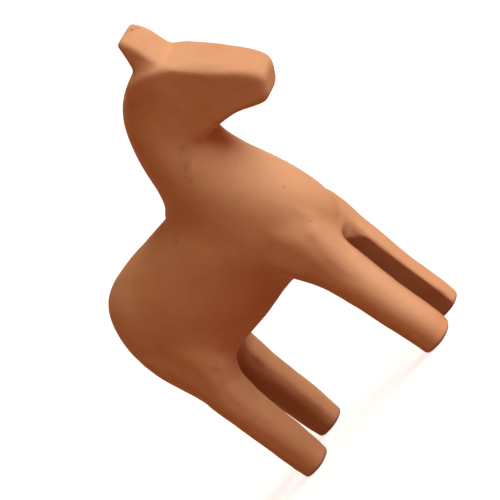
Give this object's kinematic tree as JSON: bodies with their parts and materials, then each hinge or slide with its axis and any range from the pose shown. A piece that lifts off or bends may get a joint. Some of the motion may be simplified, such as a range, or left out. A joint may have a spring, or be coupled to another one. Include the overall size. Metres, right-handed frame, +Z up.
{
  "type": "terracotta horse figure",
  "caption": "Fired clay horse standing on short legs, with an arched neck, a tucked head and stub ears; hollow body built from luted pieces.",
  "frame": {"origin": "on the ground, below the middle of the horse", "axes": "+X from the tail to the head, +Y to the horse's left, +Z up"},
  "size_m": [0.1319, 0.0374, 0.15],
  "materials": {
    "fired_clay": "unglazed, matte"
  },
  "bodies": {
    "root": {"trunk_rear": "fired_clay", "trunk_front": "fired_clay", "neck_lower": "fired_clay", "neck_upper": "fired_clay", "head": "fired_clay", "ear_left": "fired_clay", "ear_right": "fired_clay", "fore_leg_left": "fired_clay", "fore_leg_right": "fired_clay", "hind_leg_left": "fired_clay", "hind_leg_right": "fired_clay"}
  },
  "joints": []
}
